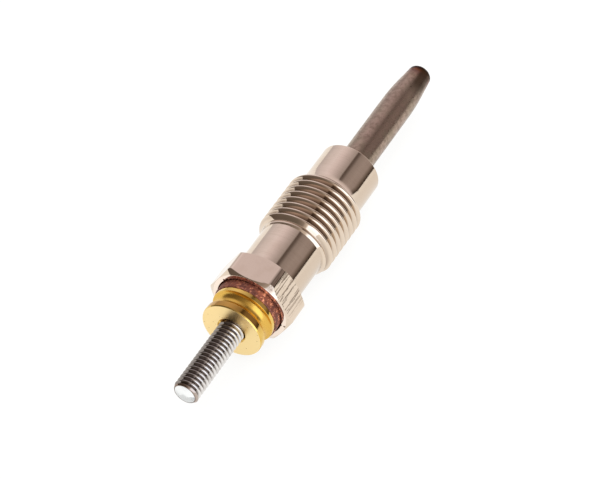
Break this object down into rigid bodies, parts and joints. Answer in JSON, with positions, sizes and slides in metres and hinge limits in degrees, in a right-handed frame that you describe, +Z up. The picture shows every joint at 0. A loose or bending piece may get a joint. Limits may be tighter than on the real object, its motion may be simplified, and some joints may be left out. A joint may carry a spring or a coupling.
{
  "type": "glow plug",
  "caption": "Diesel engine glow plug: threaded steel body with a hexagon and a sealing cone, a terminal stud with a round nut, and a slim heater tube with a swaged tip.",
  "frame": {"origin": "on the surface that the plug lies on, under its axis, midway between the stud's end and the tip", "axes": "+X along the plug towards its glowing tip, +Z up from the surface that it lies on"},
  "size_m": [0.073, 0.0136, 0.012],
  "materials": {
    "plated_steel": "satin",
    "stud_steel": "satin",
    "brass": "satin",
    "fibre": "matte",
    "black_rubber": "matte",
    "brown_rubber": "matte",
    "heater_alloy": "heat tinted",
    "heating_wire": "drawn",
    "control_wire": "drawn",
    "magnesia": "powder"
  },
  "bodies": {
    "root": {"body": "plated_steel", "terminal_stud": "stud_steel", "terminal_nut": "brass", "insulating_washer": "fibre", "body_seal": "black_rubber", "tube_seal": "brown_rubber", "heater_sheath": "heater_alloy", "heating_coil": "heating_wire", "control_coil": "control_wire", "magnesia_filling": "magnesia"}
  },
  "joints": []
}
